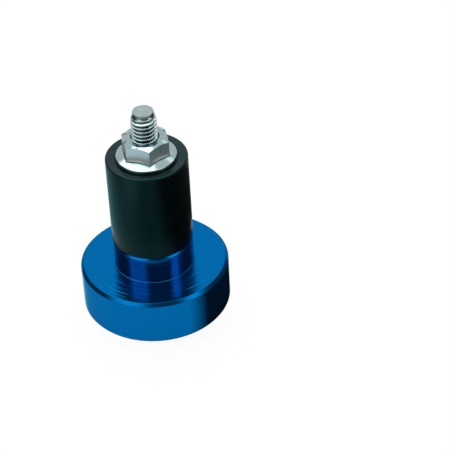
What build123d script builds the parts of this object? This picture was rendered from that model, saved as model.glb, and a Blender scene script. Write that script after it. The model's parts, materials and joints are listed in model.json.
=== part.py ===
from build123d import *
import os
from math import radians, sqrt, tan

# Bar end weight for a tubular handlebar, in millimetres. The axis of the whole stack is Z.
# It stands on the flat ring of its front face at Z = 0, with the threaded end of the screw up.
# The screw draws the flange nut down, which squeezes the rubber bush until it grips inside the bar.

# End weight: turned disc, coned front face, collar that centres it in the bar
weight_diameter = 35.0
rim_height = 11.2
crown_height = 3.4
front_ring_width = 1.5
front_edge_bevel = 0.35
rear_edge_bevel = 0.7
collar_diameter = 18.8
collar_height = 7.0
collar_bevel = 0.6
recess_bevel = 0.9

# Countersunk socket screw
screw_diameter = 6.0
head_diameter = 12.4
head_land = 0.3
head_angle = 90.0
head_recess = 1.6
socket_width = 4.0
socket_depth = 2.3
socket_bevel = 0.25
drill_point_angle = 120.0
tip_taper_depth = 0.6
tip_taper_length = 2.2
thread_showing = 6.8

# Expander bush
bush_diameter = 19.0
bush_length = 22.8
bush_rim_radius = 0.4
bush_foot_bevel = 0.3
nut_seat_depth = 0.3

# Flange nut
nut_width = 10.0
nut_height = 5.7
nut_face_inset = 0.5
nut_bevel_angle = 30.0
nut_turn = 39.5
nut_mouth_bevel = 0.3
flange_diameter = 14.1
flange_edge = 0.75
flange_rise = 0.85
flange_edge_bevel = 0.2

# Gaps between the pieces, each measured square to the surfaces
recess_gap = 0.4
head_seat_gap = 0.05
screw_hole_gap = 0.2
thread_gap = 0.05
bush_bore_gap = 0.5
nut_seat_gap = 0.2

# Heights up the stack
rear_face = crown_height + rim_height
collar_top = rear_face + collar_height
bush_top = collar_top + bush_length
nut_bottom = bush_top - nut_seat_depth
nut_top = nut_bottom + nut_height
screw_tip = nut_top + thread_showing

# Radii
rim_radius = weight_diameter / 2
collar_radius = collar_diameter / 2
screw_radius = screw_diameter / 2
head_radius = head_diameter / 2
recess_radius = head_radius + recess_gap
front_ring_radius = recess_radius + recess_bevel + front_ring_width
bush_radius = bush_diameter / 2
flange_radius = flange_diameter / 2
hex_radius = nut_width / 2

# The head's cone, and the countersink a constant gap outside it
cone_slope = tan(radians(head_angle / 2))
head_cone_height = (head_radius - screw_radius) / cone_slope
cone_side_gap = head_seat_gap * sqrt(1 + cone_slope**2)
countersink_start = head_recess + head_land - (recess_gap - cone_side_gap) / cone_slope

SAME_HEIGHT = 0.01


def rings_at(piece, height):
    """Round edges of a piece that lie at one height, smallest first."""
    rings = piece.edges().filter_by(GeomType.CIRCLE)
    return rings.filter_by_position(Axis.Z, height - SAME_HEIGHT, height + SAME_HEIGHT).sort_by(SortBy.RADIUS)


os.makedirs("parts", exist_ok=True)

# End weight, turned from one bar: cone, rim and collar in one outline
with BuildPart() as end_weight:
    with BuildSketch(Plane.XZ):
        with BuildLine():
            Polyline(
                (0, 0),
                (front_ring_radius, 0),
                (rim_radius, crown_height),
                (rim_radius, rear_face),
                (collar_radius, rear_face),
                (collar_radius, collar_top),
                (0, collar_top),
                close=True,
            )
        make_face()
    revolve(axis=Axis.Z)
    chamfer(rings_at(end_weight, crown_height), front_edge_bevel)
    chamfer(rings_at(end_weight, rear_face)[-1], rear_edge_bevel)
    chamfer(rings_at(end_weight, collar_top), collar_bevel)
    # Screw seat from the front: round recess, countersink and through hole
    with Locations(Location((0, 0, countersink_start), (180, 0, 0))):
        CounterSinkHole(
            radius=screw_radius + screw_hole_gap,
            counter_sink_radius=recess_radius,
            counter_sink_angle=head_angle,
        )
    chamfer(rings_at(end_weight, 0)[0], recess_bevel)

end_weight.part.label = "end_weight"
export_step(end_weight.part, "parts/end_weight.step")

# Expander bush, a moulded rubber sleeve with a rounded rim and a shallow seat for the nut's flange
with BuildPart() as expander_bush:
    with BuildSketch(Plane.XY.offset(collar_top)):
        Circle(bush_radius)
        Circle(screw_radius + bush_bore_gap, mode=Mode.SUBTRACT)
    extrude(amount=bush_length)
    chamfer(rings_at(expander_bush, collar_top)[-1], bush_foot_bevel)
    fillet(rings_at(expander_bush, bush_top)[-1], bush_rim_radius)
    with BuildSketch(Plane.XY.offset(bush_top)):
        Circle(flange_radius + nut_seat_gap)
    extrude(amount=-nut_seat_depth, mode=Mode.SUBTRACT)

expander_bush.part.label = "expander_bush"
export_step(expander_bush.part, "parts/expander_bush.step")

# Socket screw, with its head down in the weight, its thread drawn at the outside diameter and a tapered tip
with BuildPart() as socket_screw:
    with BuildSketch(Plane.XZ):
        with BuildLine():
            Polyline(
                (0, head_recess),
                (head_radius, head_recess),
                (head_radius, head_recess + head_land),
                (screw_radius, head_recess + head_land + head_cone_height),
                (screw_radius, screw_tip - tip_taper_length),
                (screw_radius - tip_taper_depth, screw_tip),
                (0, screw_tip),
                close=True,
            )
        make_face()
    revolve(axis=Axis.Z)
    with BuildSketch(Plane.XY.offset(head_recess)):
        RegularPolygon(radius=socket_width / 2, side_count=6, major_radius=False)
    extrude(amount=socket_depth, mode=Mode.SUBTRACT)
    socket_mouth = socket_screw.edges().filter_by(GeomType.LINE).group_by(Axis.Z)[0]
    chamfer(socket_mouth, socket_bevel)
    with Locations((0, 0, head_recess + socket_depth)):
        Cone(
            bottom_radius=socket_width / 2,
            top_radius=0,
            height=socket_width / 2 / tan(radians(drill_point_angle / 2)),
            align=(Align.CENTER, Align.CENTER, Align.MIN),
            mode=Mode.SUBTRACT,
        )

socket_screw.part.label = "socket_screw"
export_step(socket_screw.part, "parts/socket_screw.step")

# Flange nut: bevelled hexagon on a coned flange that meets each flat in an arch
with BuildPart() as flange_nut:
    with BuildSketch(Plane.XY.offset(nut_bottom)):
        hexagon = RegularPolygon(radius=hex_radius, side_count=6, major_radius=False, rotation=nut_turn)
    extrude(amount=nut_height)
    corner_radius = hexagon.radius
    bevel_radius = hex_radius - nut_face_inset
    with BuildSketch(Plane.XZ):
        with BuildLine():
            Polyline(
                (0, nut_bottom),
                (corner_radius, nut_bottom),
                (corner_radius, nut_top - (corner_radius - bevel_radius) * tan(radians(nut_bevel_angle))),
                (bevel_radius, nut_top),
                (0, nut_top),
                close=True,
            )
        make_face()
    revolve(axis=Axis.Z, mode=Mode.INTERSECT)
    with BuildSketch(Plane.XZ):
        with BuildLine():
            Polyline(
                (0, nut_bottom),
                (flange_radius, nut_bottom),
                (flange_radius, nut_bottom + flange_edge),
                (hex_radius, nut_bottom + flange_edge + flange_rise),
                (0, nut_bottom + flange_edge + flange_rise),
                close=True,
            )
        make_face()
    revolve(axis=Axis.Z)
    chamfer(rings_at(flange_nut, nut_bottom + flange_edge)[-1], flange_edge_bevel)
    with Locations((0, 0, nut_top)):
        Hole(radius=screw_radius + thread_gap)
    chamfer([rings_at(flange_nut, nut_bottom)[0], rings_at(flange_nut, nut_top)[0]], nut_mouth_bevel)

flange_nut.part.label = "flange_nut"
export_step(flange_nut.part, "parts/flange_nut.step")
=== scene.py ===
import json
from math import ceil, cos, floor, pi, radians, sin, sqrt, tan

import bmesh
import bpy
from mathutils import Matrix, Vector


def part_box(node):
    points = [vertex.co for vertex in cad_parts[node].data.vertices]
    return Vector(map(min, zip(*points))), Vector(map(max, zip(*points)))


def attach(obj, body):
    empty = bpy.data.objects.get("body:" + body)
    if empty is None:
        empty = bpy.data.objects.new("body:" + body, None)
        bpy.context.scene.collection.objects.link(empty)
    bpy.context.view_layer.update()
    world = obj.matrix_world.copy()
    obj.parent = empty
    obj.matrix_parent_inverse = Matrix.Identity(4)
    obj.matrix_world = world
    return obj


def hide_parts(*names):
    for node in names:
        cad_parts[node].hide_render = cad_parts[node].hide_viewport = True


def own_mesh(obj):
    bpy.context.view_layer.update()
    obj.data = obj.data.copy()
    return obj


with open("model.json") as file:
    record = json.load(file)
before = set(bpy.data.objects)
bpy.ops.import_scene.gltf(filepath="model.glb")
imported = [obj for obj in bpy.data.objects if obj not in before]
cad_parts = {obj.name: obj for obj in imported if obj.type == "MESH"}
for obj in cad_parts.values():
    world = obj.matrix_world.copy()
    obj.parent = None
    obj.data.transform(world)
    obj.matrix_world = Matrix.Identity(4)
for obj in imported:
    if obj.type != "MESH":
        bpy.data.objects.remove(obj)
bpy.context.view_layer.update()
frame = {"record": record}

# End weight: a disc turned from one aluminium bar, with a coned front, a bevelled rim and a collar
# that centres it in the handlebar. It is polished on the lathe, then anodised and dyed blue.
MM = 0.001
mounts = {mount["name"]: mount for mount in frame["record"]["mounts"]}
rear_face = mounts["bar_end_face"]["pos_m"][2]
collar_radius = mounts["bar_collar"]["dims"]["r_mm"] * MM
collar_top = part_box("end_weight")[1].z
rim_radius = 17.5 * MM
rim_foot = 3.4 * MM
front_ring_radius = 9.0 * MM
front_bevel = 0.35 * MM
rear_bevel = 0.7 * MM
collar_bevel = 0.6 * MM
collar_root_radius = 0.12 * MM
recess_radius = 6.6 * MM
recess_bevel = 0.9 * MM
countersink_start = 1.57 * MM
weight_hole_radius = 3.2 * MM
countersink_end = countersink_start + recess_radius - weight_hole_radius
lathe_edge = 0.07 * MM
edge_steps = 6
edge_guard = 0.05 * MM
seam_width = 0.001 * MM
crease_angle = radians(30)
half_flat = radians(30)
weight_segments = 360

dye_blue = (0.0, 0.19, 0.55, 1)
# Darker, more violet colour that only the collar gets: a painted reflection.
painted_violet_reflection = (0.06, 0.22, 0.44, 1)
dye_edge = (0.15, 0.65, 0.80, 1)
violet_cover = (0.7, 1.0)
anodised_metallic = 0.95
anodised_roughness = (0.09, 0.13)
anodised_cloud_scale = 300.0
nick_scale = 3500.0
nick_share = 0.3
wall_mark_share = 0.3
turning_mark_spacing = 0.8 * MM
turning_mark_depth = 0.05 * MM


def rounded(corners, closed=False, steps=edge_steps, guard=edge_guard):
    """Points along an outline of (radius, height, edge radius) corners, each rounded by its edge radius.
    A straight run has a point close to each end, so that smooth shading stays flat along it."""
    arcs = []
    for number, (radius, height, edge) in enumerate(corners):
        corner = Vector((radius, height))
        if edge == 0 or not closed and number in (0, len(corners) - 1):
            arcs.append([corner])
            continue
        back = (Vector(corners[number - 1][:2]) - corner).normalized()
        ahead = (Vector(corners[(number + 1) % len(corners)][:2]) - corner).normalized()
        half = back.angle(ahead) / 2
        centre = corner + (back + ahead).normalized() * edge / sin(half)
        start = corner + back * edge / tan(half) - centre
        end = corner + ahead * edge / tan(half) - centre
        turn = start.angle(end)
        weights = [(sin(turn * (1 - k / steps)), sin(turn * k / steps)) for k in range(steps + 1)]
        arcs.append([centre + (start * a + end * b) / sin(turn) for a, b in weights])
    points = []
    for number, arc in enumerate(arcs):
        points += arc
        if number + 1 == len(arcs) and not closed:
            continue
        first, last = arc[-1], arcs[(number + 1) % len(arcs)][0]
        inset = (last - first).normalized() * min(guard, (last - first).length / 3)
        points += [first + inset, last - inset]
    return points + points[:1] if closed else points


def new_mesh(name, points, faces=()):
    """Mesh of points, and of faces that name the points by number."""
    mesh = bpy.data.meshes.new(name)
    mesh.from_pydata(points, [], faces)
    return mesh


def add_object(name, data):
    """Object in the scene, at the origin."""
    added = bpy.data.objects.new(name, data)
    bpy.context.scene.collection.objects.link(added)
    return added


def outline_mesh(name, points, hexagon=None):
    """Row of outline points in the XZ plane for a tree to read, with hexagon shares if it has any."""
    mesh = new_mesh(name, [(point.x, 0, point.y) for point in points])
    if hexagon:
        mesh.attributes.new("hexagon", "FLOAT", "POINT").data.foreach_set("value", hexagon)
    return mesh


def add_node(tree, kind, inputs=None, **settings):
    """Adds a node, sets its properties, and links or sets its inputs by name or by number."""
    node = tree.nodes.new(kind)
    for name, value in settings.items():
        setattr(node, name, value)
    for key, value in (inputs or {}).items():
        if isinstance(value, bpy.types.NodeSocket):
            tree.links.new(value, node.inputs[key])
        else:
            node.inputs[key].default_value = value
    return node


def maths(tree, operation, *values):
    """Output of a Math node whose values are numbers or other nodes' sockets."""
    return add_node(tree, "ShaderNodeMath", dict(enumerate(values)), operation=operation).outputs[0]


def new_tree(name, kind, inputs, outputs):
    """Node group with sockets of named types, as (tree, sockets of its input node, its output node)."""
    tree = bpy.data.node_groups.new(name, kind)
    for in_out, sockets in (("INPUT", inputs), ("OUTPUT", outputs)):
        for socket, socket_type in sockets.items():
            tree.interface.new_socket(socket, in_out=in_out, socket_type="NodeSocket" + socket_type)
    return tree, tree.nodes.new("NodeGroupInput").outputs, tree.nodes.new("NodeGroupOutput")


def end_tree(tree, output, geometry, material):
    """Closes seams and poles, and ends a tree in plain, smooth geometry with its material."""
    merged = add_node(tree, "GeometryNodeMergeByDistance", {"Geometry": geometry, "Distance": seam_width})
    smooth = add_node(tree, "GeometryNodeSetShadeSmooth", {"Geometry": merged.outputs[0]})
    plain = add_node(tree, "GeometryNodeRealizeInstances", {"Geometry": smooth.outputs[0]})
    painted = add_node(tree, "GeometryNodeSetMaterial",
                       {"Geometry": plain.outputs[0], "Material": material})
    tree.links.new(painted.outputs[0], output.inputs[0])


def grid_over(tree, outline, columns):
    """Grid with the outline's points in every column.
    Its parts are (mesh, number of the column, point of the outline, that point's hexagon share)."""
    count = add_node(tree, "GeometryNodeAttributeDomainSize", {"Geometry": outline}).outputs["Point Count"]
    grid = add_node(tree, "GeometryNodeMeshGrid", {"Vertices X": columns, "Vertices Y": count})
    index = add_node(tree, "GeometryNodeInputIndex").outputs[0]
    place = add_node(tree, "FunctionNodeIntegerMath", {0: index, 1: count}, operation="MODULO").outputs[0]
    column = add_node(tree, "FunctionNodeIntegerMath", {0: index, 1: count}, operation="DIVIDE_FLOOR")
    position = add_node(tree, "GeometryNodeInputPosition").outputs[0]
    share = add_node(tree, "GeometryNodeInputNamedAttribute", {"Name": "hexagon"}, data_type="FLOAT")
    point = add_node(tree, "GeometryNodeSampleIndex",
                     {"Geometry": outline, "Value": position, "Index": place}, data_type="FLOAT_VECTOR")
    hexagon = add_node(tree, "GeometryNodeSampleIndex",
                       {"Geometry": outline, "Value": share.outputs[0], "Index": place}, data_type="FLOAT")
    part = add_node(tree, "ShaderNodeSeparateXYZ", {0: point.outputs[0]}).outputs
    return grid.outputs["Mesh"], column.outputs[0], part, hexagon.outputs[0]


def put_round(tree, grid, radius, angle, height):
    """Moves the grid's points to a radius, angle and height about the Z axis."""
    x = maths(tree, "MULTIPLY", radius, maths(tree, "COSINE", angle))
    y = maths(tree, "MULTIPLY", radius, maths(tree, "SINE", angle))
    place = add_node(tree, "ShaderNodeCombineXYZ", {0: x, 1: y, 2: height}).outputs[0]
    return add_node(tree, "GeometryNodeSetPosition", {"Geometry": grid, "Position": place}).outputs[0]


def make_lathe_tree():
    """Turns an outline round the Z axis. A point's ring is round at hexagon share 0 and a hexagon at 1."""
    tree, given, output = new_tree(
        "turned_on_the_lathe", "GeometryNodeTree",
        {"Outline": "Geometry", "Segments": "Int", "Material": "Material"}, {"Turned": "Geometry"})
    columns = maths(tree, "ADD", given["Segments"], 1)
    grid, column, point, hexagon = grid_over(tree, given["Outline"], columns)
    angle = maths(tree, "MULTIPLY", column, maths(tree, "DIVIDE", 2 * pi, given["Segments"]))
    from_flat = maths(tree, "WRAP", maths(tree, "SUBTRACT", angle, half_flat), half_flat, -half_flat)
    corner_reach = maths(tree, "SUBTRACT", maths(tree, "DIVIDE", 1, maths(tree, "COSINE", from_flat)), 1)
    stretch = maths(tree, "MULTIPLY_ADD", hexagon, corner_reach, 1)
    radius = maths(tree, "MULTIPLY", point["X"], stretch)
    end_tree(tree, output, put_round(tree, grid, radius, angle, point["Z"]), given["Material"])
    return tree


def run_tree(name, tree, source, values):
    """Plain mesh that a tree makes from a source mesh, with its inputs given by name."""
    holder = add_object(name, source)
    modifier = holder.modifiers.new(name, "NODES")
    modifier.node_group = tree
    for item in tree.interface.items_tree:
        if item.in_out == "INPUT" and item.name in values:
            modifier[item.identifier] = values[item.name]
    mesh = bpy.data.meshes.new_from_object(holder.evaluated_get(bpy.context.evaluated_depsgraph_get()))
    bpy.data.objects.remove(holder)
    return mesh


def finished_piece(name, shells, material):
    """Object at the origin from shells, joined at their common rings, closed and facing outwards."""
    joined = bmesh.new()
    for shell in shells:
        joined.from_mesh(shell)
    bmesh.ops.remove_doubles(joined, verts=joined.verts, dist=seam_width)
    bmesh.ops.dissolve_degenerate(joined, edges=joined.edges, dist=seam_width / 2)
    rims = [edge for edge in joined.edges if edge.is_boundary]
    bmesh.ops.holes_fill(joined, edges=rims, sides=0)
    bmesh.ops.recalc_face_normals(joined, faces=joined.faces)
    for face in joined.faces:
        face.smooth = True
    mesh = bpy.data.meshes.new(name)
    joined.to_mesh(mesh)
    joined.free()
    mesh.set_sharp_from_angle(angle=crease_angle)
    mesh.materials.append(material)
    return add_object(name, mesh)


def about_axis(tree, place):
    """X, Y and Z of a point, and its distance from the Z axis."""
    part = add_node(tree, "ShaderNodeSeparateXYZ", {0: place}).outputs
    across = add_node(tree, "ShaderNodeCombineXYZ", {0: part["X"], 1: part["Y"]}).outputs[0]
    return part, add_node(tree, "ShaderNodeVectorMath", {0: across}, operation="LENGTH").outputs["Value"]


def rescaled(tree, value, start, end, low=0.0, high=1.0, **settings):
    """A value moved from the range start to end into the range low to high, and held within it."""
    ranges = {"From Min": start, "From Max": end, "To Min": low, "To Max": high}
    return add_node(tree, "ShaderNodeMapRange", {"Value": value, **ranges}, **settings).outputs["Result"]


def span(tree, value, low, high):
    """A 0 to 1 value moved to the range between low and high."""
    return rescaled(tree, value, 0.0, 1.0, low, high)


def make_turning_marks():
    """Group: uneven tool rings, across a faced surface by radius and along a turned wall by height."""
    ring_detail, ring_roughness = 3.0, 0.65
    tree, given, output = new_tree(
        "turning_marks", "ShaderNodeTree", {"Position": "Vector", "Spacing": "Float"}, {"Height": "Float"})
    part, radius = about_axis(tree, given["Position"])
    along = maths(tree, "DIVIDE", maths(tree, "ADD", radius, part["Z"]), given["Spacing"])
    rings = add_node(tree, "ShaderNodeTexNoise",
                     {"W": along, "Scale": 1.0, "Detail": ring_detail, "Roughness": ring_roughness},
                     noise_dimensions="1D")
    tree.links.new(rings.outputs["Fac"], output.inputs["Height"])
    return tree


def make_mottle():
    """Group: soft cloudy variation of a finish, from 0 to 1."""
    cloud_detail, cloud_roughness = 4.0, 0.6
    clear_below, full_above = 0.3, 0.7
    tree, given, output = new_tree(
        "mottle", "ShaderNodeTree", {"Position": "Vector", "Scale": "Float"}, {"Value": "Float"})
    cloud = add_node(tree, "ShaderNodeTexNoise",
                     {"Vector": given["Position"], "Scale": given["Scale"],
                      "Detail": cloud_detail, "Roughness": cloud_roughness})
    spread = rescaled(tree, cloud.outputs["Fac"], clear_below, full_above)
    tree.links.new(spread, output.inputs["Value"])
    return tree


def new_material(name):
    """Material with a Principled shader, as (material, tree, shader, Object coordinates)."""
    material = bpy.data.materials.new(name)
    material.use_nodes = True
    tree = material.node_tree
    shader = next(node for node in tree.nodes if node.type == "BSDF_PRINCIPLED")
    return material, tree, shader, add_node(tree, "ShaderNodeTexCoord").outputs["Object"]


def use_group(tree, group, **values):
    """Outputs of a node group placed in a material with its own values."""
    return add_node(tree, "ShaderNodeGroup", values, node_tree=group).outputs


def blend(tree, factor, first, second):
    """Colour between two colours."""
    return add_node(tree, "ShaderNodeMix", {0: factor, 6: first, 7: second}, data_type="RGBA").outputs[2]


def bump(tree, shader, height, depth):
    """Bump of a real depth in metres on the shader's normal."""
    node = add_node(tree, "ShaderNodeBump", {"Height": height, "Distance": depth})
    tree.links.new(node.outputs["Normal"], shader.inputs["Normal"])


turning_marks = make_turning_marks()
mottle = make_mottle()


def make_blue_anodised():
    """Bright dyed aluminium with fine turning marks and nicked edges; the collar is painted darker and
    more violet in patches, a painted reflection.
    """
    material, tree, shader, place = new_material("blue_anodised")
    cloud = use_group(tree, mottle, Position=place, Scale=anodised_cloud_scale)["Value"]
    marks = use_group(tree, turning_marks, Position=place, Spacing=turning_mark_spacing)["Height"]
    nicks = use_group(tree, mottle, Position=place, Scale=nick_scale)["Value"]
    part, radius = about_axis(tree, place)
    near_collar = maths(tree, "LESS_THAN", radius, collar_radius + collar_root_radius / 2)
    over_face = maths(tree, "GREATER_THAN", part["Z"], rear_face + collar_root_radius / 2)
    under_lip = maths(tree, "LESS_THAN", part["Z"], collar_top - 2 * collar_bevel)
    on_collar = maths(tree, "MULTIPLY", maths(tree, "MULTIPLY", near_collar, over_face), under_lip)
    # The collar is painted darker and more violet in cloudy patches: a painted reflection.
    violet = maths(tree, "MULTIPLY", on_collar, span(tree, cloud, *violet_cover))
    tree.links.new(blend(tree, violet, dye_blue, painted_violet_reflection), shader.inputs["Base Color"])
    tree.links.new(span(tree, cloud, *anodised_roughness), shader.inputs["Roughness"])
    shader.inputs["Metallic"].default_value = anodised_metallic
    shader.inputs["Specular Tint"].default_value = dye_edge
    outward = maths(tree, "ADD", radius, part["Z"])
    rim_start = rim_radius + rear_face - rear_bevel - lathe_edge
    on_rim = maths(tree, "GREATER_THAN", outward, rim_start)
    within_collar = maths(tree, "LESS_THAN", radius, collar_radius + lathe_edge)
    lip_start = collar_radius + collar_top - collar_bevel - lathe_edge
    on_lip = maths(tree, "MULTIPLY", within_collar, maths(tree, "GREATER_THAN", outward, lip_start))
    nicked = maths(tree, "MULTIPLY", maths(tree, "MAXIMUM", on_rim, on_lip), nicks)
    on_face = maths(tree, "COMPARE", part["Z"], rear_face, lathe_edge)
    turned = maths(tree, "MULTIPLY", marks, span(tree, on_face, wall_mark_share, 1.0))
    bump(tree, shader, maths(tree, "MULTIPLY_ADD", nicked, nick_share, turned), turning_mark_depth)
    return material


cone_run = Vector((rim_radius - front_ring_radius, rim_foot)).normalized() * front_bevel
weight_corners = [
    (weight_hole_radius, collar_top, lathe_edge),
    (collar_radius - collar_bevel, collar_top, lathe_edge),
    (collar_radius, collar_top - collar_bevel, lathe_edge),
    (collar_radius, rear_face, collar_root_radius),
    (rim_radius - rear_bevel, rear_face, lathe_edge),
    (rim_radius, rear_face - rear_bevel, lathe_edge),
    (rim_radius, rim_foot + front_bevel, lathe_edge),
    (rim_radius - cone_run.x, rim_foot - cone_run.y, lathe_edge),
    (front_ring_radius, 0, lathe_edge),
    (recess_radius + recess_bevel, 0, lathe_edge),
    (recess_radius, recess_bevel, lathe_edge),
    (recess_radius, countersink_start, lathe_edge),
    (weight_hole_radius, countersink_end, lathe_edge),
]
blue_anodised = make_blue_anodised()
lathe_tree = make_lathe_tree()
weight_outline = outline_mesh("weight_outline", rounded(weight_corners, closed=True))
weight_shell = run_tree("weight_shell", lathe_tree, weight_outline,
                        {"Segments": weight_segments, "Material": blue_anodised})
turned_weight = finished_piece("turned_weight", [weight_shell], blue_anodised)
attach(turned_weight, "weight")
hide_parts("end_weight")

# Socket screw: a forged and thread-rolled steel M6 screw, zinc plated, put in from the front. Its coned
# head beds in the weight's countersink, and a hexagon key in its socket turns it.
head_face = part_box("socket_screw")[0].z
screw_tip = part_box("socket_screw")[1].z
screw_radius = 3.0 * MM
head_radius = 6.2 * MM
head_land = 0.3 * MM
head_edge = 0.12 * MM
head_top = head_face + head_land + head_radius - screw_radius
neck_radius = 0.5 * MM
socket_reach = 2.0 * MM
socket_depth = 2.3 * MM
socket_bevel = 0.25 * MM
socket_corner = (socket_reach + socket_bevel) / cos(half_flat)
drill_half_angle = radians(60)
thread_pitch = 1.0 * MM
thread_root = 2.39 * MM
thread_length = 24.0 * MM
thread_foot = screw_tip - thread_length
root_flat = thread_pitch / 4
crest_flat = thread_pitch / 8
crest_edge = 0.07 * MM
crest_steps = 3
fine_guard = 0.02 * MM
runout_length = 1.5 * thread_pitch
runout_slope = (screw_radius - thread_root) / runout_length
tip_radius = 2.38 * MM
tip_taper_length = 2.2 * MM
tip_slope = (screw_radius - tip_radius) / tip_taper_length
tip_shade_reach = 0.5 * MM
tip_margin = 0.02 * MM
thread_start = radians(108)
screw_spare_turns = 2
screw_segments = 96

bright_zinc = (0.43, 0.55, 0.56, 1)
pale_zinc = (0.51, 0.62, 0.62, 1)
# The crest colour, lighter than the plate, is a painted highlight on the thread; the groove colour is
# painted shade in the thread's roots and on a rim just under the tip.
crest_highlight = (0.66, 0.82, 0.84, 1)
groove_shade_colour = (0.15, 0.20, 0.20, 1)
olive_zinc = (0.26, 0.29, 0.23, 1)
pale_olive = (0.36, 0.39, 0.33, 1)
groove_shade_starts, groove_shade_full = 0.15, 0.75
screw_roughness = (0.17, 0.24)
thread_polish = 0.05
head_dullness = 0.14
screw_cloud_scale = 900.0
screw_grain_scale = 3500.0
screw_grain_share = 0.35
screw_grain_depth = 0.0012 * MM


def make_thread_tree():
    """Winds one pitch of a thread outline up the Z axis between two flat ends, which cones trim."""
    tree, given, output = new_tree(
        "wound_thread", "GeometryNodeTree",
        {"Outline": "Geometry", "Pitch": "Float", "Segments": "Int", "Turns": "Int",
         "Start Angle": "Float", "First Height": "Float",
         "Foot": "Float", "Foot Radius": "Float", "Foot Slope": "Float",
         "Top": "Float", "Top Radius": "Float", "Top Slope": "Float",
         "In A Nut": "Bool", "Material": "Material"},
        {"Thread": "Geometry"})
    columns = maths(tree, "MULTIPLY_ADD", given["Segments"], given["Turns"], 1)
    grid, column, point, _ = grid_over(tree, given["Outline"], columns)
    step = maths(tree, "FLOORED_MODULO", column, given["Segments"])
    part_turn = maths(tree, "DIVIDE", step, given["Segments"])
    angle = maths(tree, "MULTIPLY_ADD", part_turn, 2 * pi, given["Start Angle"])
    climb = maths(tree, "MULTIPLY", maths(tree, "DIVIDE", column, given["Segments"]), given["Pitch"])
    free_height = maths(tree, "ADD", maths(tree, "ADD", climb, given["First Height"]), point["Z"])
    height = maths(tree, "MINIMUM", maths(tree, "MAXIMUM", free_height, given["Foot"]), given["Top"])
    over_foot = maths(tree, "SUBTRACT", height, given["Foot"])
    below_top = maths(tree, "SUBTRACT", given["Top"], height)
    foot_cone = maths(tree, "MULTIPLY", over_foot, given["Foot Slope"])
    top_cone = maths(tree, "MULTIPLY", below_top, given["Top Slope"])
    wound = maths(tree, "MAXIMUM", point["X"], maths(tree, "SUBTRACT", given["Foot Radius"], foot_cone))
    bevelled_tip = maths(tree, "MINIMUM", wound, maths(tree, "ADD", given["Top Radius"], top_cone))
    bevelled_mouth = maths(tree, "MAXIMUM", wound, maths(tree, "SUBTRACT", given["Top Radius"], top_cone))
    radius = add_node(tree, "GeometryNodeSwitch",
                      {"Switch": given["In A Nut"], "False": bevelled_tip, "True": bevelled_mouth},
                      input_type="FLOAT").outputs[0]
    end_tree(tree, output, put_round(tree, grid, radius, angle, height), given["Material"])
    return tree


def thread_outline(name, inner, outer, play):
    """One pitch of a 60 degree thread from root to root, its flanks drawn back by the play."""
    flank = (thread_pitch - root_flat - crest_flat) / 2 / (screw_radius - thread_root)
    half_inner = root_flat / 2 - play + (inner - thread_root) * flank
    half_outer = (thread_pitch - root_flat) / 2 + play - (outer - thread_root) * flank
    corners = [
        (inner, 0, 0),
        (inner, half_inner, crest_edge),
        (outer, thread_pitch / 2 - half_outer, crest_edge),
        (outer, thread_pitch / 2 + half_outer, crest_edge),
        (inner, thread_pitch - half_inner, crest_edge),
        (inner, thread_pitch, 0),
    ]
    return outline_mesh(name, rounded(corners, steps=crest_steps, guard=fine_guard))


def make_specks():
    """Group: small scattered grains, as a mask with soft edges."""
    grain_edge, grain_core = 0.45, 0.15
    tree, given, output = new_tree(
        "specks", "ShaderNodeTree",
        {"Position": "Vector", "Scale": "Float", "Share": "Float"}, {"Mask": "Float"})
    cells = add_node(tree, "ShaderNodeTexVoronoi",
                     {"Vector": given["Position"], "Scale": given["Scale"]}).outputs
    draw = add_node(tree, "ShaderNodeSeparateColor", {0: cells["Color"]}).outputs[0]
    chosen = maths(tree, "LESS_THAN", draw, given["Share"])
    grain = rescaled(tree, cells["Distance"], grain_edge, grain_core)
    tree.links.new(maths(tree, "MULTIPLY", chosen, grain), output.inputs["Mask"])
    return tree


specks = make_specks()


def make_zinc_screw():
    """Zinc plate, with a painted highlight on the thread's crests and painted shade in its grooves and on
    a rim just under the tip; dull and speckled olive on the head.
    """
    material, tree, shader, place = new_material("zinc_screw")
    cloud = use_group(tree, mottle, Position=place, Scale=screw_cloud_scale)["Value"]
    grains = use_group(tree, specks, Position=place, Scale=screw_grain_scale,
                       Share=screw_grain_share)["Mask"]
    part, radius = about_axis(tree, place)
    below_tip = maths(tree, "SUBTRACT", screw_tip, part["Z"])
    tapered = maths(tree, "MULTIPLY_ADD", below_tip, tip_slope, tip_radius)
    crest = maths(tree, "MINIMUM", tapered, screw_radius)
    thread_depth = maths(tree, "MAXIMUM", maths(tree, "SUBTRACT", crest, thread_root), tip_margin)
    depth_share = maths(tree, "DIVIDE", maths(tree, "SUBTRACT", crest, radius), thread_depth)
    # Painted shade that deepens into the thread's roots and covers a rim just under the tip; the crests
    # keep the lighter colour as a painted highlight.
    groove_shade = rescaled(tree, depth_share, groove_shade_starts, groove_shade_full)
    tip_shade = rescaled(tree, below_tip, tip_shade_reach, tip_shade_reach / 2)
    thread = blend(tree, maths(tree, "MAXIMUM", groove_shade, tip_shade), crest_highlight, groove_shade_colour)
    over_foot = maths(tree, "GREATER_THAN", part["Z"], thread_foot)
    on_thread = maths(tree, "MULTIPLY", over_foot, maths(tree, "GREATER_THAN", below_tip, tip_margin))
    plate = blend(tree, on_thread, blend(tree, cloud, bright_zinc, pale_zinc), thread)
    on_head = rescaled(tree, part["Z"], head_top + screw_radius, head_top)
    olive = blend(tree, maths(tree, "MAXIMUM", cloud, grains), olive_zinc, pale_olive)
    tree.links.new(blend(tree, on_head, plate, olive), shader.inputs["Base Color"])
    rolled = maths(tree, "MULTIPLY_ADD", on_thread, -thread_polish, span(tree, cloud, *screw_roughness))
    tree.links.new(maths(tree, "MULTIPLY_ADD", on_head, head_dullness, rolled), shader.inputs["Roughness"])
    shader.inputs["Metallic"].default_value = 1.0
    bump(tree, shader, maths(tree, "ADD", cloud, grains), screw_grain_depth)
    return material


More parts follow.
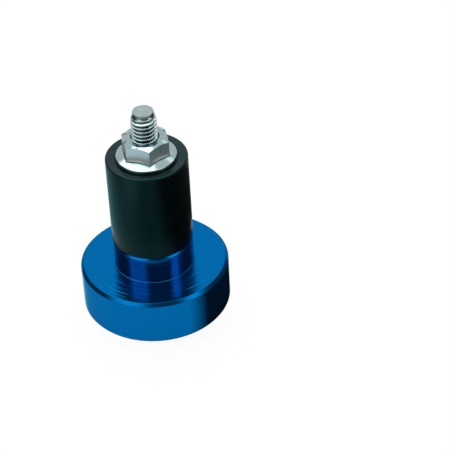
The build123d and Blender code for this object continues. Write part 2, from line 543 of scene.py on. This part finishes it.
zinc_screw = make_zinc_screw()
socket_floor = head_face + socket_depth
drill_point = socket_floor + socket_reach / tan(drill_half_angle)
socket_points = [
    (0, drill_point, 0),
    (socket_reach, socket_floor, 0),
    (socket_reach, socket_floor, 1),
    (socket_reach, head_face + socket_bevel, 1),
    (socket_reach + socket_bevel, head_face, 1),
]
head_corners = [
    (socket_corner, head_face, 0),
    (head_radius, head_face, head_edge),
    (head_radius, head_face + head_land, head_edge),
    (screw_radius, head_top, neck_radius),
    (screw_radius, thread_foot, 0),
]
head_points = rounded(head_corners)[1:]
screw_points = [Vector((radius, height)) for radius, height, share in socket_points] + head_points
hexagon_shares = [share for radius, height, share in socket_points] + [0] * len(head_points)
head_outline = outline_mesh("head_outline", screw_points, hexagon_shares)
head_shell = run_tree("head_shell", lathe_tree, head_outline,
                      {"Segments": screw_segments, "Material": zinc_screw})
thread_tree = make_thread_tree()
screw_first = thread_foot - thread_pitch
screw_turns = ceil(thread_length / thread_pitch) + screw_spare_turns
screw_thread = run_tree(
    "screw_thread", thread_tree, thread_outline("screw_thread", thread_root, screw_radius, 0),
    {"Pitch": thread_pitch, "Segments": screw_segments, "Turns": screw_turns,
     "Start Angle": thread_start, "First Height": screw_first,
     "Foot": thread_foot, "Foot Radius": screw_radius, "Foot Slope": runout_slope,
     "Top": screw_tip, "Top Radius": tip_radius, "Top Slope": tip_slope,
     "In A Nut": False, "Material": zinc_screw})
threaded_screw = finished_piece("threaded_screw", [head_shell, screw_thread], zinc_screw)
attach(threaded_screw, "screw")
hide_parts("socket_screw")

# Expander bush: a moulded sleeve of black rubber that slides over the screw and stands on the collar.
# The nut squeezes it shorter, so that it swells and grips inside the bar.
bush_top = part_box("expander_bush")[1].z
bush_radius = mounts["bar_bush"]["dims"]["r_mm"] * MM
bush_bore = 3.5 * MM
bush_rim = 0.4 * MM
bush_foot_bevel = 0.3 * MM
rubber_edge = 0.1 * MM
ledge_dish = 0.24 * MM
nut_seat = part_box("flange_nut")[0].z
nut_seat_radius = 7.25 * MM
bush_segments = 240

rubber_black = (0.0002, 0.0008, 0.0010, 1)
rubber_worn = (0.0005, 0.0018, 0.0022, 1)
rubber_dust = (0.05, 0.06, 0.06, 1)
rubber_sheen = (0.20, 0.88, 0.95, 1)
rubber_roughness = (0.21, 0.27)
rubber_cloud_scale = 350.0
rubber_grain_scale = 5000.0
rubber_grain_depth = 0.004 * MM
dust_scale = 1500.0
dust_share = 0.03
dust_cover = 0.2


def make_black_rubber():
    """Satin rubber with a fine moulded grain and a few specks of dust."""
    material, tree, shader, place = new_material("black_rubber")
    cloud = use_group(tree, mottle, Position=place, Scale=rubber_cloud_scale)["Value"]
    grain = use_group(tree, mottle, Position=place, Scale=rubber_grain_scale)["Value"]
    dust = use_group(tree, specks, Position=place, Scale=dust_scale, Share=dust_share)["Mask"]
    tone = blend(tree, cloud, rubber_black, rubber_worn)
    dusty = blend(tree, maths(tree, "MULTIPLY", dust, dust_cover), tone, rubber_dust)
    tree.links.new(dusty, shader.inputs["Base Color"])
    tree.links.new(span(tree, cloud, *rubber_roughness), shader.inputs["Roughness"])
    shader.inputs["Specular Tint"].default_value = rubber_sheen
    bump(tree, shader, grain, rubber_grain_depth)
    return material


bush_corners = [
    (bush_bore, collar_top, rubber_edge),
    (bush_radius - bush_foot_bevel, collar_top, rubber_edge),
    (bush_radius, collar_top + bush_foot_bevel, rubber_edge),
    (bush_radius, bush_top, bush_rim),
    (nut_seat_radius, bush_top - ledge_dish, rubber_edge),
    (nut_seat_radius, nut_seat, rubber_edge),
    (bush_bore, nut_seat, rubber_edge),
]
black_rubber = make_black_rubber()
bush_outline = outline_mesh("bush_outline", rounded(bush_corners, closed=True))
bush_shell = run_tree("bush_shell", lathe_tree, bush_outline,
                      {"Segments": bush_segments, "Material": black_rubber})
rubber_bush = finished_piece("rubber_bush", [bush_shell], black_rubber)
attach(rubber_bush, "weight")
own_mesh(rubber_bush)
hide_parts("expander_bush")

# Flange nut: a cold-formed M6 steel nut with its washer in one piece, zinc plated. It runs on the screw's
# thread and bears on the rubber, and its coned flange meets each flat in an arch.
nut_bottom = nut_seat
nut_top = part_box("flange_nut")[1].z
hex_reach = 5.0 * MM
hex_corner_radius = 0.3 * MM
nut_turn = radians(39.5)
bevel_radius = 4.5 * MM
bevel_slope = tan(radians(30))
flange_radius = 7.05 * MM
flange_edge = 0.75 * MM
flange_rise = 0.85 * MM
flange_slope = flange_rise / (flange_radius - hex_reach)
flange_round = 0.25 * MM
flange_foot_round = 0.1 * MM
facet_edge = 0.07 * MM
facet_root = 0.06 * MM
mouth_radius = 3.35 * MM
mouth_slope = 1.0
nut_thread_inner = 2.5 * MM
nut_thread_outer = 3.05 * MM
thread_play = 0.05 * MM
nut_spare_turns = 3
nut_segments = 480

blue_zinc = (0.36, 0.53, 0.58, 1)
warm_zinc = (0.49, 0.59, 0.58, 1)
# The flat colours are far lighter than the plate: painted light on the flats, bluish higher up and warmer
# towards the flange. The arch colour is painted shade.
painted_light_flat = (0.67, 0.95, 1.0, 1)
painted_light_warm_flat = (0.98, 0.97, 0.92, 1)
arch_shade = (0.05, 0.07, 0.08, 1)
arch_line = 0.2 * MM
warm_height = 2.6 * MM
warm_low_share = 0.8
warm_cloud_share = 0.2
nut_roughness = (0.08, 0.13)
flat_dullness = 0.25
nut_cloud_scale = 700.0
nut_mark_spacing = 0.12 * MM
nut_mark_share = 0.4
nut_mark_depth = 0.0015 * MM


def make_zinc_nut():
    """Bright zinc plate, satin on the flats, which are painted lighter than the rest, bluish higher up and
    warmer towards the flange, with painted shade in the arches where the flats meet the flange.
    """
    material, tree, shader, place = new_material("zinc_nut")
    cloud = use_group(tree, mottle, Position=place, Scale=nut_cloud_scale)["Value"]
    marks = use_group(tree, turning_marks, Position=place, Spacing=nut_mark_spacing)["Height"]
    part, radius = about_axis(tree, place)
    angle = maths(tree, "SUBTRACT", maths(tree, "ARCTAN2", part["Y"], part["X"]), nut_turn + half_flat)
    from_flat = maths(tree, "COSINE", maths(tree, "WRAP", angle, half_flat, -half_flat))
    out_of_flat = maths(tree, "SUBTRACT", maths(tree, "MULTIPLY", radius, from_flat), hex_reach)
    inside_flange = maths(tree, "SUBTRACT", flange_radius, radius)
    flange_height = maths(tree, "MULTIPLY_ADD", inside_flange, flange_slope, nut_bottom + flange_edge)
    over_flange = maths(tree, "SUBTRACT", part["Z"], flange_height)
    off_flat = maths(tree, "ABSOLUTE", out_of_flat)
    off_flange = maths(tree, "ABSOLUTE", over_flange)
    # Painted shade along the arch where a flat meets the flange.
    painted_arch_shade = rescaled(tree, maths(tree, "ADD", off_flat, off_flange), arch_line, arch_line / 2)
    beside_flat = maths(tree, "COMPARE", out_of_flat, 0.0, facet_edge)
    inside_bevel = maths(tree, "SUBTRACT", bevel_radius, radius)
    bevel_height = maths(tree, "MULTIPLY_ADD", inside_bevel, bevel_slope, nut_top)
    under_bevel = maths(tree, "LESS_THAN", part["Z"], maths(tree, "SUBTRACT", bevel_height, facet_edge))
    on_flats = maths(tree, "MULTIPLY", beside_flat, under_bevel)
    # The flats are painted lighter than the rest of the plate, and warmer towards the flange.
    plate = blend(tree, cloud, blue_zinc, warm_zinc)
    low_on_flat = rescaled(tree, over_flange, warm_height, 0.0, high=warm_low_share)
    warmth = maths(tree, "MULTIPLY_ADD", cloud, warm_cloud_share, low_on_flat)
    flats = blend(tree, on_flats, plate, blend(tree, warmth, painted_light_flat, painted_light_warm_flat))
    tree.links.new(blend(tree, painted_arch_shade, flats, arch_shade), shader.inputs["Base Color"])
    satin = maths(tree, "MULTIPLY_ADD", on_flats, flat_dullness, span(tree, cloud, *nut_roughness))
    tree.links.new(satin, shader.inputs["Roughness"])
    shader.inputs["Metallic"].default_value = 1.0
    bump(tree, shader, maths(tree, "MULTIPLY_ADD", marks, nut_mark_share, cloud), nut_mark_depth)
    return material


def hexagon_radius(angle):
    """Distance from the axis to the side of the nut's hexagon, whose corners are slightly round."""
    from_flat = (angle - nut_turn) % (2 * half_flat) - half_flat
    from_corner = half_flat - abs(from_flat)
    corner_centre = (hex_reach - hex_corner_radius) / cos(half_flat)
    offset = corner_centre * sin(from_corner)
    tangent = hex_corner_radius * sin(half_flat) * cos(from_corner)
    if offset < tangent:
        return corner_centre * cos(from_corner) + sqrt(hex_corner_radius**2 - offset**2)
    return hex_reach / cos(from_flat)


def nut_section(angle):
    """Outside of the nut in one direction from its axis, from the lower mouth round to the upper mouth."""
    side = hexagon_radius(angle)
    corners = [
        (mouth_radius, nut_bottom, 0),
        (flange_radius, nut_bottom, flange_foot_round),
        (flange_radius, nut_bottom + flange_edge, flange_round),
        (side, nut_bottom + flange_edge + (flange_radius - side) * flange_slope, facet_root),
        (side, nut_top - (side - bevel_radius) * bevel_slope, facet_edge),
        (bevel_radius, nut_top, facet_edge),
        (mouth_radius, nut_top, 0),
    ]
    return rounded(corners, guard=fine_guard)


def swept_section(name, section, start, segments):
    """Shell of a section that changes with its angle about the Z axis."""
    angles = [start + 2 * pi * k / segments for k in range(segments)]
    rows = [[(p.x * cos(angle), p.x * sin(angle), p.y) for p in section(angle)] for angle in angles]
    width = len(rows[0])
    faces = []
    for row in range(segments):
        ahead = (row + 1) % segments
        faces += [(row * width + k, ahead * width + k, ahead * width + k + 1, row * width + k + 1)
                  for k in range(width - 1)]
    return new_mesh(name, [point for row in rows for point in row], faces)


zinc_nut = make_zinc_nut()
nut_shell = swept_section("nut_shell", nut_section, nut_turn, nut_segments)
in_step = screw_first + thread_pitch * (nut_turn - thread_start) / (2 * pi)
nut_first = in_step + thread_pitch * floor((nut_bottom - thread_pitch - in_step) / thread_pitch)
nut_turns = ceil((nut_top - nut_bottom) / thread_pitch) + nut_spare_turns
nut_thread = run_tree(
    "nut_thread", thread_tree,
    thread_outline("nut_thread", nut_thread_inner, nut_thread_outer, thread_play),
    {"Pitch": thread_pitch, "Segments": nut_segments, "Turns": nut_turns,
     "Start Angle": nut_turn, "First Height": nut_first,
     "Foot": nut_bottom, "Foot Radius": mouth_radius, "Foot Slope": mouth_slope,
     "Top": nut_top, "Top Radius": mouth_radius, "Top Slope": mouth_slope,
     "In A Nut": True, "Material": zinc_nut})
flanged_nut = finished_piece("flanged_nut", [nut_shell, nut_thread], zinc_nut)
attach(flanged_nut, "nut")
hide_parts("flange_nut")

# Studio: a pale floor that the camera sees as white, with a broad panel, a lamp and a strip overhead and
# soft lamps to the left, to the right and behind. Between them are a dark room, dark cards on the floor
# and dark flags at the sides, and only reflections see the cards and flags. The cards and flags paint
# shade into those reflections, more in some directions than in others, and the ring nearest the object
# also paints a cyan tint into them.
object_middle = Vector((0, 0, screw_tip / 2))
lamp_distance = 0.7


def bare_tree(owner):
    """Emptied node tree of a lamp, a material or the world."""
    owner.use_nodes = True
    owner.node_tree.nodes.clear()
    return owner.node_tree


def add_softbox(name, azimuth, elevation, size, brightness, feather, distance=lamp_distance, aside=0):
    """Area lamp that faces the object, or stands aside of that line, and fades towards its edges over
    a share of its size. Azimuth 0 is the camera's side and grows to the right, in degrees."""
    turn, rise = radians(azimuth), radians(elevation)
    outward = Vector((sin(turn) * cos(rise), -cos(turn) * cos(rise), sin(rise)))
    width, height = size
    lamp = bpy.data.lights.new(name, "AREA")
    lamp.shape = "RECTANGLE"
    lamp.size, lamp.size_y = width, height
    lamp.energy = brightness * width * height * pi
    tree = bare_tree(lamp)
    place = add_node(tree, "ShaderNodeNewGeometry").outputs["Parametric"]
    part = add_node(tree, "ShaderNodeSeparateXYZ", {0: place}).outputs
    from_edges = [maths(tree, "PINGPONG", part[axis], 0.5) for axis in ("X", "Y")]
    soft = [rescaled(tree, value, 0.0, feather, interpolation_type="SMOOTHSTEP") for value in from_edges]
    glow = add_node(tree, "ShaderNodeEmission", {"Strength": maths(tree, "MULTIPLY", *soft)}).outputs[0]
    add_node(tree, "ShaderNodeOutputLight", {"Surface": glow})
    softbox = add_object(name, lamp)
    softbox.location = object_middle + outward * distance + Vector((aside, 0, 0))
    softbox.rotation_euler = outward.to_track_quat("Z", "Y").to_euler()
    softbox.visible_camera = False


add_softbox("overhead_panel", azimuth=180, elevation=81, size=(1.95, 1.16), brightness=0.66, feather=0.04,
            distance=0.85)
add_softbox("overhead_lamp", azimuth=180, elevation=70, size=(0.62, 0.53), brightness=1.55, feather=0.12,
            aside=-0.15)
add_softbox("front_strip", azimuth=0, elevation=83, size=(1.10, 0.20), brightness=1.9, feather=0.25,
            distance=0.78)
add_softbox("left_lamp", azimuth=-49, elevation=47, size=(0.58, 0.40), brightness=1.1, feather=0.2)
add_softbox("right_lamp", azimuth=62, elevation=42, size=(0.28, 0.34), brightness=1.25, feather=0.2)
add_softbox("back_lamp", azimuth=180, elevation=32, size=(1.20, 0.75), brightness=0.63, feather=0.05)

floor_half = 2.0
floor_tone = (0.65, 0.65, 0.65, 1)
white_strength = 1.06
seen_share = 0.9
near_floor, far_floor = 0.13, 0.26
near_mirrored_share, far_mirrored_share = 0.36, 0.9


def white_share(tree, seen, mirrored):
    """Share of plain white: one where the camera sees it, also through glass, and one in reflections."""
    rays = add_node(tree, "ShaderNodeLightPath").outputs
    in_view = maths(tree, "MAXIMUM", rays["Is Camera Ray"], rays["Is Transmission Ray"])
    return maths(tree, "MAXIMUM", maths(tree, "MULTIPLY", in_view, seen),
                 maths(tree, "MULTIPLY", rays["Is Glossy Ray"], mirrored))


def make_floor_material():
    """Pale floor: nearly white to the camera, partly white in reflections, and it keeps the shadow."""
    material = bpy.data.materials.new("pale_floor")
    tree = bare_tree(material)
    place = add_node(tree, "ShaderNodeTexCoord").outputs["Object"]
    distance = add_node(tree, "ShaderNodeVectorMath", {0: place}, operation="LENGTH").outputs["Value"]
    mirrored = rescaled(tree, distance, near_floor, far_floor, near_mirrored_share, far_mirrored_share)
    share = white_share(tree, seen_share, mirrored)
    matt = add_node(tree, "ShaderNodeBsdfDiffuse", {"Color": floor_tone}).outputs[0]
    white = add_node(tree, "ShaderNodeEmission", {"Strength": white_strength}).outputs[0]
    mixed = add_node(tree, "ShaderNodeMixShader", {0: share, 1: matt, 2: white}).outputs[0]
    add_node(tree, "ShaderNodeOutputMaterial", {"Surface": mixed})
    return material


floor_corners = [(x * floor_half, y * floor_half, 0) for x, y in ((-1, -1), (1, -1), (1, 1), (-1, 1))]
floor_mesh = new_mesh("floor", floor_corners, [(0, 1, 2, 3)])
floor_mesh.materials.append(make_floor_material())
studio_floor = add_object("floor", floor_mesh)

card_tone = (0.02, 0.02, 0.02, 1)
clear_tone = (1, 1, 1, 1)
# Cyan that the ring lays over what reflections see through it: a painted reflection tint.
painted_cyan_tint = (0.24, 0.68, 0.72, 1)
ring_steps = 72
ring_inner = 36.5 * MM
ring_outer = 64 * MM
front_outer = 130 * MM
ring_height = 0.05 * MM
flag_radius = 60 * MM
flag_foot = 38 * MM
flag_top = 70 * MM
low_card_left, low_card_right = 8 * MM, 40 * MM
low_card_front, low_card_corner, low_card_back = -16 * MM, -36 * MM, 24 * MM
low_card_height = 0.1 * MM
ring_centre = Vector((0, 0))
low_card_centre = Vector((4.4, -12.3)) * MM
ring_fade = ((-170, 0.05), (-90, 0.29), (-44, 0.36), (0, 0.57), (24, 0.60), (38, 0.98), (148, 0.98),
             (172, 0.1))
front_fade = ((-150, 0.0), (-130, 0.8), (-72, 0.8), (-54, 0.0), (-34, 0.0), (-20, 0.6), (12, 0.62),
              (26, 0.97), (130, 0.95), (150, 0.0))
flag_fade = ((-138, 0.0), (-126, 0.96), (-82, 0.96), (-72, 0.0), (80, 0.0), (90, 0.96), (126, 0.96),
             (138, 0.0))
low_card_fade = ((47, 0.0), (60, 0.25), (86, 1.0))


def make_card_material(name, centre, fade, tone):
    """Dark card whose cover changes with the angle round a point, from stops of (degrees, cover): painted
    shade in reflections. The angle is 0 towards the camera and grows to the right. The tone colours what
    is seen through it; the ring's cyan tone is a painted tint in reflections."""
    material = bpy.data.materials.new(name)
    tree = bare_tree(material)
    place = add_node(tree, "ShaderNodeTexCoord").outputs["Object"]
    part = add_node(tree, "ShaderNodeSeparateXYZ", {0: place}).outputs
    sideways = maths(tree, "SUBTRACT", part["X"], centre.x)
    forward = maths(tree, "SUBTRACT", centre.y, part["Y"])
    turn = maths(tree, "MULTIPLY_ADD", maths(tree, "ARCTAN2", sideways, forward), 0.5 / pi, 0.5)
    ramp = add_node(tree, "ShaderNodeValToRGB", {0: turn})
    stops = ramp.color_ramp.elements
    while len(stops) < len(fade):
        stops.new(0.5)
    for stop, (angle, cover) in zip(stops, fade):
        stop.position = angle / 360 + 0.5
        stop.color = (cover, cover, cover, 1)
    clear = add_node(tree, "ShaderNodeBsdfTransparent", {"Color": tone}).outputs[0]
    dark = add_node(tree, "ShaderNodeBsdfDiffuse", {"Color": card_tone}).outputs[0]
    mixed = add_node(tree, "ShaderNodeMixShader", {0: ramp.outputs[0], 1: clear, 2: dark}).outputs[0]
    add_node(tree, "ShaderNodeOutputMaterial", {"Surface": mixed})
    return material


def add_card(mesh, centre, fade, tone=clear_tone):
    """Card that only reflections see. It lights and shades nothing, and the camera looks past it."""
    mesh.materials.append(make_card_material(mesh.name, centre, fade, tone))
    card = add_object(mesh.name, mesh)
    card.visible_camera = False
    card.visible_diffuse = False
    card.visible_shadow = False


def band(name, *circles):
    """Band between two circles about the Z axis, each given as (radius, height)."""
    points = []
    for radius, height in circles:
        turns = [2 * pi * k / ring_steps for k in range(ring_steps)]
        points += [(radius * sin(turn), -radius * cos(turn), height) for turn in turns]
    steps = [(k, (k + 1) % ring_steps) for k in range(ring_steps)]
    return new_mesh(name, points, [(k, ahead, ahead + ring_steps, k + ring_steps) for k, ahead in steps])


# The low card puts a painted dark patch into the reflections on the right side of the disc and the rubber.
low_card_corners = [
    (low_card_left, low_card_front, low_card_height),
    (low_card_right, low_card_corner, low_card_height),
    (low_card_right, low_card_back, low_card_height),
    (low_card_left, low_card_back, low_card_height),
]
cool_ring = band("cool_ring", (ring_inner, ring_height), (ring_outer, ring_height))
front_card = band("front_card", (ring_outer, ring_height), (front_outer, ring_height))
side_flags = band("side_flags", (flag_radius, flag_foot), (flag_radius, flag_top))
low_card = new_mesh("low_card", low_card_corners, [(0, 1, 2, 3)])
add_card(cool_ring, ring_centre, ring_fade, painted_cyan_tint)
add_card(front_card, ring_centre, front_fade)
add_card(side_flags, ring_centre, flag_fade)
add_card(low_card, low_card_centre, low_card_fade)

room_tone = (0.055, 0.06, 0.065, 1)
backdrop_tone = (1, 1, 1, 1)
mirrored_room = 0.03
world = bpy.data.worlds.new("studio")
world_tree = bare_tree(world)
room = add_node(world_tree, "ShaderNodeBackground", {"Color": room_tone}).outputs[0]
backdrop = add_node(world_tree, "ShaderNodeBackground", {"Color": backdrop_tone}).outputs[0]
sky_share = white_share(world_tree, 1.0, mirrored_room)
sky = add_node(world_tree, "ShaderNodeMixShader", {0: sky_share, 1: room, 2: backdrop}).outputs[0]
add_node(world_tree, "ShaderNodeOutputWorld", {"Surface": sky})
bpy.context.scene.world = world

# Camera: a long lens that looks down on the part from the front, with the part left of the middle.
# It is rolled by a few degrees, so the part leans a little in the picture.
camera_elevation = radians(37.943)
camera_roll = radians(2.876)
camera_distance = 425.96 * MM
camera_target = Vector((17.055, 0, 23.238)) * MM
camera_lens = 145.49
nearest_seen = 10 * MM
backward = Vector((0, -cos(camera_elevation), sin(camera_elevation)))
level = Vector((1, 0, 0))
upward = backward.cross(level)
camera_x = level * cos(camera_roll) - upward * sin(camera_roll)
camera_y = level * sin(camera_roll) + upward * cos(camera_roll)
camera_data = bpy.data.cameras.new("camera")
camera_data.lens = camera_lens
camera_data.clip_start = nearest_seen
camera = add_object("camera", camera_data)
camera.matrix_world = (Matrix.Translation(camera_target + backward * camera_distance)
                       @ Matrix((camera_x, camera_y, backward)).transposed().to_4x4())
bpy.context.scene.camera = camera
bpy.context.scene.view_settings.view_transform = "Standard"
